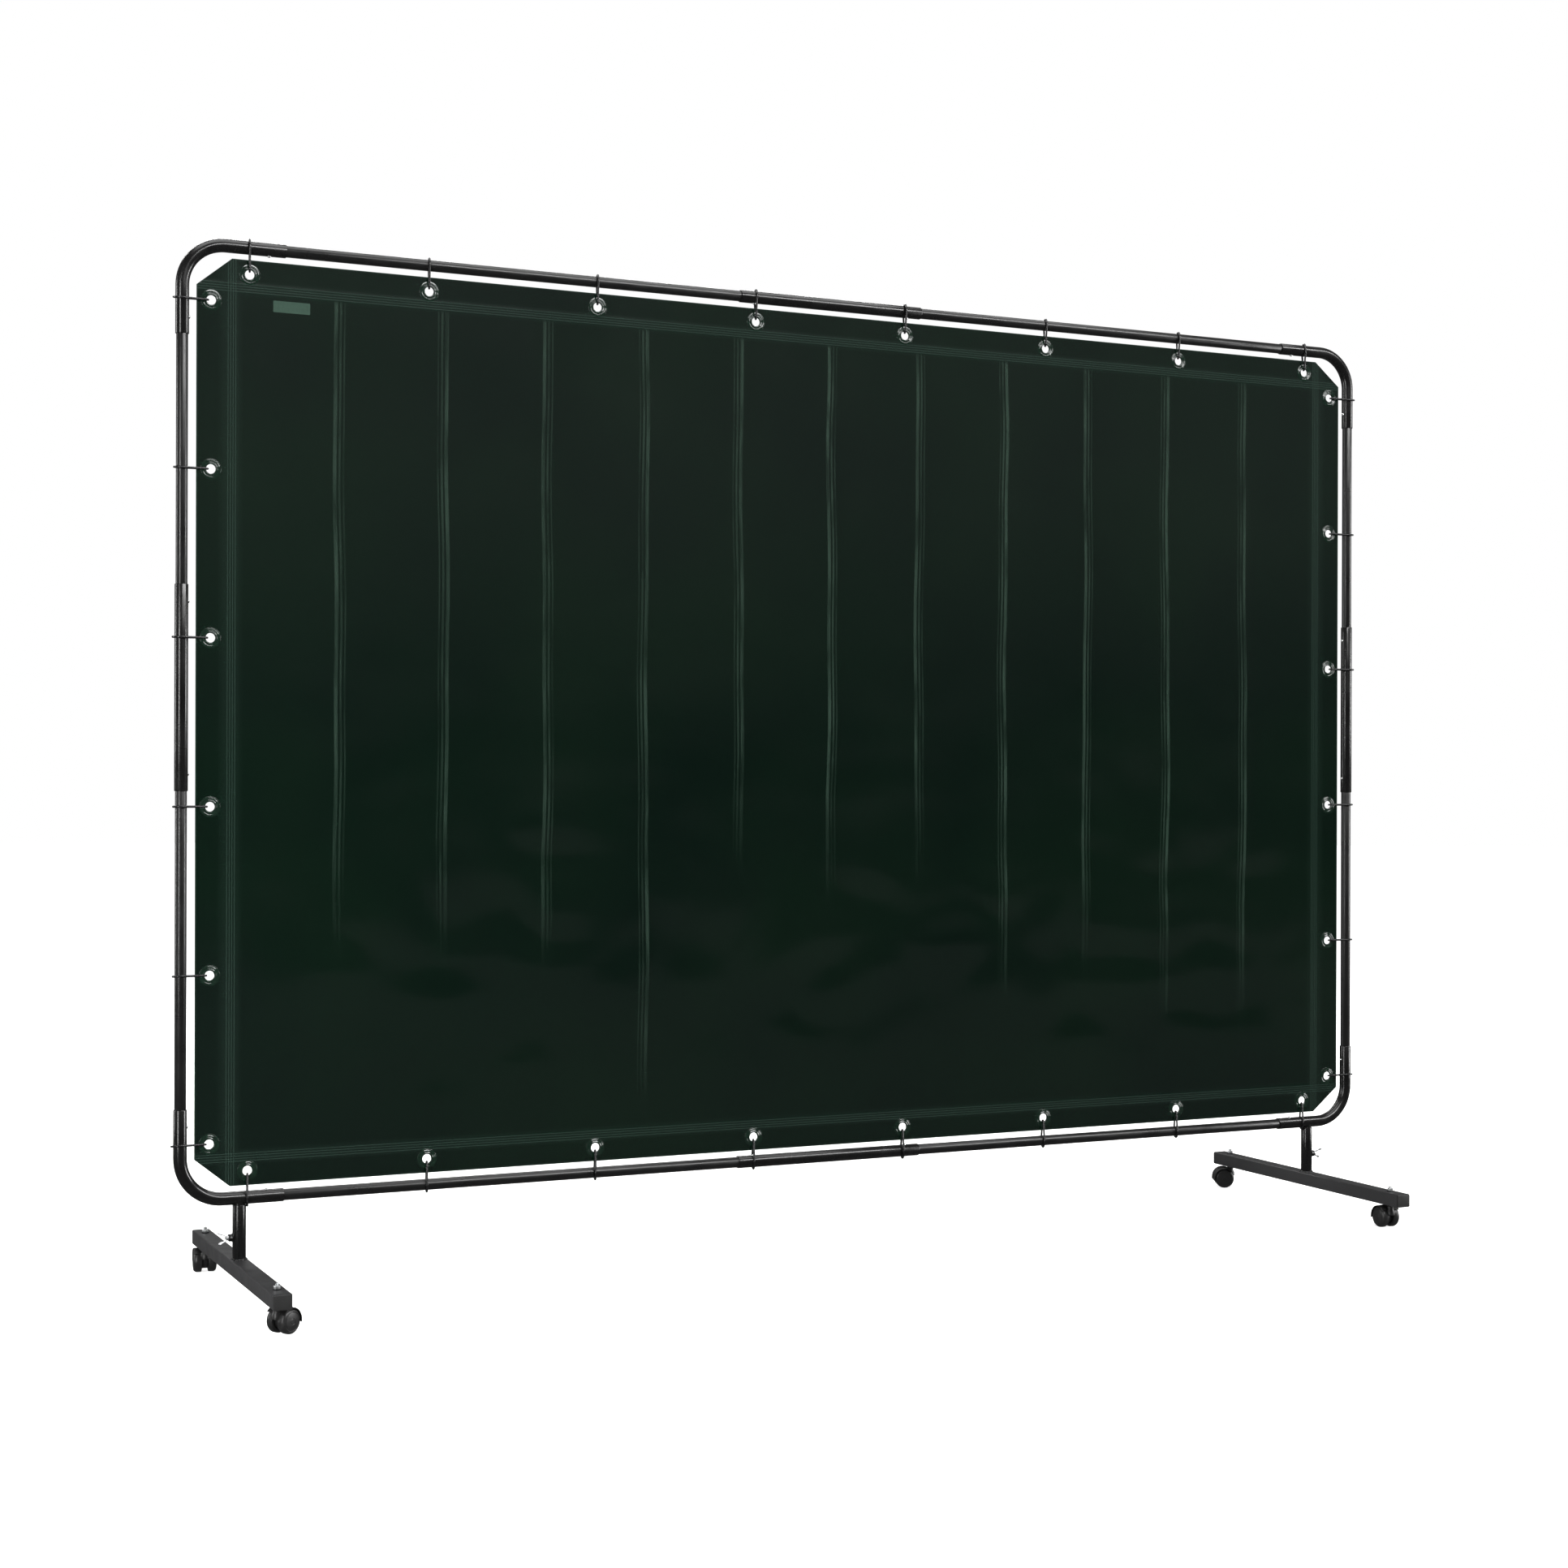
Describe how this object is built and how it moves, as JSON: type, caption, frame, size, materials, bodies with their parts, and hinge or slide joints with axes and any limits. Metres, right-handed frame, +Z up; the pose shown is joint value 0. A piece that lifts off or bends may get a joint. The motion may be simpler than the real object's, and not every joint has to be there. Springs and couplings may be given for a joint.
{
  "type": "welding curtain screen",
  "caption": "Wheeled welding screen: slip-jointed round tube frame with rounded corners, a dark green film curtain laced in by wire rings, and two castored T feet.",
  "frame": {"origin": "on the floor, under the middle of the frame", "axes": "+X along the screen's width, +Y out of its back, +Z up"},
  "size_m": [2.388, 0.6, 1.7519],
  "materials": {
    "frame_tube": "semi-gloss black powder coat on steel tube",
    "foot_beam": "satin black powder coat on steel tube",
    "snap_button": "nickel-plated steel, polished",
    "zinc": "bright zinc plate",
    "curtain_film": "dark green translucent PVC film, glossy, welded hems",
    "wire": "black coated steel wire, glossy",
    "castor_nylon": "moulded black nylon",
    "castor_wheel": "moulded black nylon, smooth tread"
  },
  "bodies": {
    "frame": {"corner_bend_top_left": "frame_tube", "corner_bend_top_right": "frame_tube", "corner_bend_bottom_left": "frame_tube", "corner_bend_bottom_right": "frame_tube", "rail_top_left": "frame_tube", "rail_top_right": "frame_tube", "rail_bottom_left": "frame_tube", "rail_bottom_right": "frame_tube", "upright_left_lower": "frame_tube", "upright_left_upper": "frame_tube", "upright_right_lower": "frame_tube", "upright_right_upper": "frame_tube", "sleeve_top": "frame_tube", "sleeve_bottom": "frame_tube", "sleeve_left": "frame_tube", "sleeve_right": "frame_tube", "curtain": "curtain_film", "wire_ring_1": "wire", "wire_ring_2": "wire", "wire_ring_3": "wire", "wire_ring_4": "wire", "wire_ring_5": "wire", "wire_ring_6": "wire", "wire_ring_7": "wire", "wire_ring_8": "wire"},
    "snap_button_top_1": {"snap_button_top_1": "snap_button"},
    "snap_button_top_2": {"snap_button_top_2": "snap_button"},
    "snap_button_top_3": {"snap_button_top_3": "snap_button"},
    "snap_button_top_4": {"snap_button_top_4": "snap_button"},
    "snap_button_bottom_1": {"snap_button_bottom_1": "snap_button"},
    "snap_button_bottom_2": {"snap_button_bottom_2": "snap_button"},
    "snap_button_bottom_3": {"snap_button_bottom_3": "snap_button"},
    "snap_button_bottom_4": {"snap_button_bottom_4": "snap_button"},
    "snap_button_left_1": {"snap_button_left_1": "snap_button"},
    "snap_button_left_2": {"snap_button_left_2": "snap_button"},
    "snap_button_left_3": {"snap_button_left_3": "snap_button"},
    "snap_button_left_4": {"snap_button_left_4": "snap_button"},
    "snap_button_right_1": {"snap_button_right_1": "snap_button"},
    "snap_button_right_2": {"snap_button_right_2": "snap_button"},
    "snap_button_right_3": {"snap_button_right_3": "snap_button"},
    "snap_button_right_4": {"snap_button_right_4": "snap_button"},
    "foot_left": {"foot_beam_left": "foot_beam", "foot_post_left": "frame_tube", "castor_stem_left_near": "zinc", "castor_stem_left_far": "zinc"},
    "wing_screw_left": {"wing_screw_left": "zinc"},
    "castor_left_near": {"castor_housing_left_near": "castor_nylon"},
    "wheels_left_near": {"castor_wheels_left_near": "castor_wheel"},
    "castor_left_far": {"castor_housing_left_far": "castor_nylon"},
    "wheels_left_far": {"castor_wheels_left_far": "castor_wheel"},
    "foot_right": {"foot_beam_right": "foot_beam", "foot_post_right": "frame_tube", "castor_stem_right_near": "zinc", "castor_stem_right_far": "zinc"},
    "wing_screw_right": {"wing_screw_right": "zinc"},
    "castor_right_near": {"castor_housing_right_near": "castor_nylon"},
    "wheels_right_near": {"castor_wheels_right_near": "castor_wheel"},
    "castor_right_far": {"castor_housing_right_far": "castor_nylon"},
    "wheels_right_far": {"castor_wheels_right_far": "castor_wheel"}
  },
  "joints": [
    {"name": "press_top_1", "type": "slide", "parent": "frame", "child": "snap_button_top_1", "axis": [0, 0, 1], "range_m": [0, 0.0032], "stiffness_N_per_m": 600, "springref_m": -0.004},
    {"name": "press_top_2", "type": "slide", "parent": "frame", "child": "snap_button_top_2", "axis": [0, 0, 1], "range_m": [0, 0.0032], "stiffness_N_per_m": 600, "springref_m": -0.004},
    {"name": "press_top_3", "type": "slide", "parent": "frame", "child": "snap_button_top_3", "axis": [0, 0, 1], "range_m": [0, 0.0032], "stiffness_N_per_m": 600, "springref_m": -0.004},
    {"name": "press_top_4", "type": "slide", "parent": "frame", "child": "snap_button_top_4", "axis": [0, 0, 1], "range_m": [0, 0.0032], "stiffness_N_per_m": 600, "springref_m": -0.004},
    {"name": "press_bottom_1", "type": "slide", "parent": "frame", "child": "snap_button_bottom_1", "axis": [0, 0, -1], "range_m": [0, 0.0032], "stiffness_N_per_m": 600, "springref_m": -0.004},
    {"name": "press_bottom_2", "type": "slide", "parent": "frame", "child": "snap_button_bottom_2", "axis": [0, 0, -1], "range_m": [0, 0.0032], "stiffness_N_per_m": 600, "springref_m": -0.004},
    {"name": "press_bottom_3", "type": "slide", "parent": "frame", "child": "snap_button_bottom_3", "axis": [0, 0, -1], "range_m": [0, 0.0032], "stiffness_N_per_m": 600, "springref_m": -0.004},
    {"name": "press_bottom_4", "type": "slide", "parent": "frame", "child": "snap_button_bottom_4", "axis": [0, 0, -1], "range_m": [0, 0.0032], "stiffness_N_per_m": 600, "springref_m": -0.004},
    {"name": "press_left_1", "type": "slide", "parent": "frame", "child": "snap_button_left_1", "axis": [-1, 0, 0], "range_m": [0, 0.0032], "stiffness_N_per_m": 600, "springref_m": -0.004},
    {"name": "press_left_2", "type": "slide", "parent": "frame", "child": "snap_button_left_2", "axis": [-1, 0, 0], "range_m": [0, 0.0032], "stiffness_N_per_m": 600, "springref_m": -0.004},
    {"name": "press_left_3", "type": "slide", "parent": "frame", "child": "snap_button_left_3", "axis": [-1, 0, 0], "range_m": [0, 0.0032], "stiffness_N_per_m": 600, "springref_m": -0.004},
    {"name": "press_left_4", "type": "slide", "parent": "frame", "child": "snap_button_left_4", "axis": [-1, 0, 0], "range_m": [0, 0.0032], "stiffness_N_per_m": 600, "springref_m": -0.004},
    {"name": "press_right_1", "type": "slide", "parent": "frame", "child": "snap_button_right_1", "axis": [1, 0, 0], "range_m": [0, 0.0032], "stiffness_N_per_m": 600, "springref_m": -0.004},
    {"name": "press_right_2", "type": "slide", "parent": "frame", "child": "snap_button_right_2", "axis": [1, 0, 0], "range_m": [0, 0.0032], "stiffness_N_per_m": 600, "springref_m": -0.004},
    {"name": "press_right_3", "type": "slide", "parent": "frame", "child": "snap_button_right_3", "axis": [1, 0, 0], "range_m": [0, 0.0032], "stiffness_N_per_m": 600, "springref_m": -0.004},
    {"name": "press_right_4", "type": "slide", "parent": "frame", "child": "snap_button_right_4", "axis": [1, 0, 0], "range_m": [0, 0.0032], "stiffness_N_per_m": 600, "springref_m": -0.004},
    {"name": "foot_left_swivel", "type": "hinge", "parent": "frame", "child": "foot_left", "pos_m": [-1.086, 0, 0.107], "axis": [0, 0, 1], "range_deg": [-90, 90]},
    {"name": "wing_screw_left_turn", "type": "hinge", "parent": "foot_left", "child": "wing_screw_left", "pos_m": [-1.106, 0, 0.107], "axis": [-1, 0, 0], "range_deg": [0, 810]},
    {"name": "castor_left_near_swivel", "type": "hinge", "parent": "foot_left", "child": "castor_left_near", "pos_m": [-1.086, -0.26, 0.04], "axis": [0, 0, 1], "continuous": true},
    {"name": "wheels_left_near_roll", "type": "hinge", "parent": "castor_left_near", "child": "wheels_left_near", "pos_m": [-1.07426, -0.25238, 0.02], "axis": [-0.5446, 0.8387, 0], "continuous": true},
    {"name": "castor_left_far_swivel", "type": "hinge", "parent": "foot_left", "child": "castor_left_far", "pos_m": [-1.086, 0.26, 0.04], "axis": [0, 0, 1], "continuous": true},
    {"name": "wheels_left_far_roll", "type": "hinge", "parent": "castor_left_far", "child": "wheels_left_far", "pos_m": [-1.08429, 0.2739, 0.02], "axis": [-0.9925, 0.1219, 0], "continuous": true},
    {"name": "foot_right_swivel", "type": "hinge", "parent": "frame", "child": "foot_right", "pos_m": [1.086, 0, 0.107], "axis": [0, 0, 1], "range_deg": [-90, 90]},
    {"name": "wing_screw_right_turn", "type": "hinge", "parent": "foot_right", "child": "wing_screw_right", "pos_m": [1.106, 0, 0.107], "axis": [1, 0, 0], "range_deg": [0, 810]},
    {"name": "castor_right_near_swivel", "type": "hinge", "parent": "foot_right", "child": "castor_right_near", "pos_m": [1.086, -0.26, 0.04], "axis": [0, 0, 1], "continuous": true},
    {"name": "wheels_right_near_roll", "type": "hinge", "parent": "castor_right_near", "child": "wheels_right_near", "pos_m": [1.08673, -0.24602, 0.02], "axis": [-0.9986, 0.0523, 0], "continuous": true},
    {"name": "castor_right_far_swivel", "type": "hinge", "parent": "foot_right", "child": "castor_right_far", "pos_m": [1.086, 0.26, 0.04], "axis": [0, 0, 1], "continuous": true},
    {"name": "wheels_right_far_roll", "type": "hinge", "parent": "castor_right_far", "child": "wheels_right_far", "pos_m": [1.07353, 0.26636, 0.02], "axis": [-0.454, -0.891, 0], "continuous": true}
  ]
}
